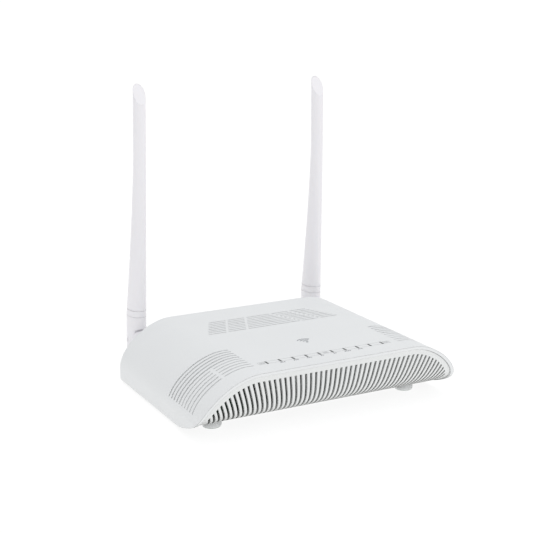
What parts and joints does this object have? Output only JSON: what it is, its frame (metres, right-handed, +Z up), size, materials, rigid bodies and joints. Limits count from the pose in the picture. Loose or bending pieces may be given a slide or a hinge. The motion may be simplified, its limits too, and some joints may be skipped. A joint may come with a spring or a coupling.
{
  "type": "optical network terminal",
  "caption": "White arched desktop network terminal with a slotted leaning front, sockets at the rear and two jointed rod antennas.",
  "frame": {"origin": "on the resting surface, under the middle of the bounding box at rest", "axes": "+Z up, +Y to the rear panel and its sockets, +X to the right seen from the front"},
  "size_m": [0.205, 0.188, 0.223],
  "materials": {
    "shell": "satin",
    "antenna": "satin",
    "panel": "satin",
    "dark": "satin",
    "rubber": "satin",
    "steel": "satin",
    "tin": "satin",
    "board": "satin",
    "chip": "satin",
    "alu": "satin",
    "clear": "satin",
    "gold": "satin",
    "blue": "satin",
    "green": "satin",
    "pad": "satin",
    "label": "satin",
    "cable": "satin",
    "zirconia": "satin"
  },
  "bodies": {
    "housing": {"top_cover": "shell", "bottom_case": "shell", "front_grille": "panel", "rear_panel": "panel", "rubber_feet": "rubber", "case_screws": "steel", "board_screws": "steel", "rating_plate": "label", "main_board": "board", "main_processor": "chip", "thermal_pad": "pad", "heat_sink": "alu", "memory_chips": "chip", "wifi_shield": "tin", "wifi_chip": "chip", "line_transformers": "chip", "electrolytic_capacitors": "alu", "power_inductors": "chip", "clock_crystal": "tin", "status_lights": "clear", "light_guide": "clear", "optical_port": "green", "ferrule_sleeve": "zirconia", "optical_transceiver": "alu", "ethernet_jacks": "dark", "ethernet_contacts": "gold", "ethernet_shield": "tin", "phone_jack": "dark", "phone_contacts": "gold", "power_jack": "dark", "power_jack_pin": "tin", "power_switch": "dark", "wifi_switch": "dark", "wps_switch": "dark", "reset_switch": "dark", "left_antenna_lead": "cable", "right_antenna_lead": "cable", "left_lead_plug": "gold", "right_lead_plug": "gold"},
    "power_button_body": {"power_button": "antenna"},
    "wifi_button_body": {"wifi_button": "antenna"},
    "wps_button_body": {"wps_button": "antenna"},
    "reset_body": {"reset_plunger": "dark"},
    "left_hub": {"left_antenna_hub": "antenna", "left_hub_clip": "dark"},
    "left_blade": {"left_antenna_fork": "antenna", "left_antenna_sleeve": "antenna", "left_hinge_pin": "steel", "left_antenna_feed": "cable", "left_antenna_radiator": "gold"},
    "right_hub": {"right_antenna_hub": "antenna", "right_hub_clip": "dark"},
    "right_blade": {"right_antenna_fork": "antenna", "right_antenna_sleeve": "antenna", "right_hinge_pin": "steel", "right_antenna_feed": "cable", "right_antenna_radiator": "gold"}
  },
  "joints": [
    {"name": "left_swivel", "type": "hinge", "parent": "housing", "child": "left_hub", "pos_m": [-0.0789, 0.0835, 0.0248], "axis": [0, -1, 0], "range_deg": [-20, 90]},
    {"name": "left_fold", "type": "hinge", "parent": "left_hub", "child": "left_blade", "pos_m": [-0.0789, 0.0835, 0.0248], "axis": [-0.9997, 0, 0.0262], "range_deg": [0, 90]},
    {"name": "right_swivel", "type": "hinge", "parent": "housing", "child": "right_hub", "pos_m": [0.0789, 0.0835, 0.0248], "axis": [0, 1, 0], "range_deg": [-20, 90]},
    {"name": "right_fold", "type": "hinge", "parent": "right_hub", "child": "right_blade", "pos_m": [0.0789, 0.0835, 0.0248], "axis": [-1, 0, 0], "range_deg": [0, 90]},
    {"name": "power_press", "type": "slide", "parent": "housing", "child": "power_button_body", "axis": [0, -1, 0], "range_m": [0, 0.0025], "stiffness_N_per_m": 800},
    {"name": "wifi_press", "type": "slide", "parent": "housing", "child": "wifi_button_body", "axis": [0, -1, 0], "range_m": [0, 0.0008], "stiffness_N_per_m": 1500},
    {"name": "wps_press", "type": "slide", "parent": "housing", "child": "wps_button_body", "axis": [0, -1, 0], "range_m": [0, 0.0008], "stiffness_N_per_m": 1500},
    {"name": "reset_press", "type": "slide", "parent": "housing", "child": "reset_body", "axis": [0, -1, 0], "range_m": [0, 0.0005], "stiffness_N_per_m": 1500}
  ]
}
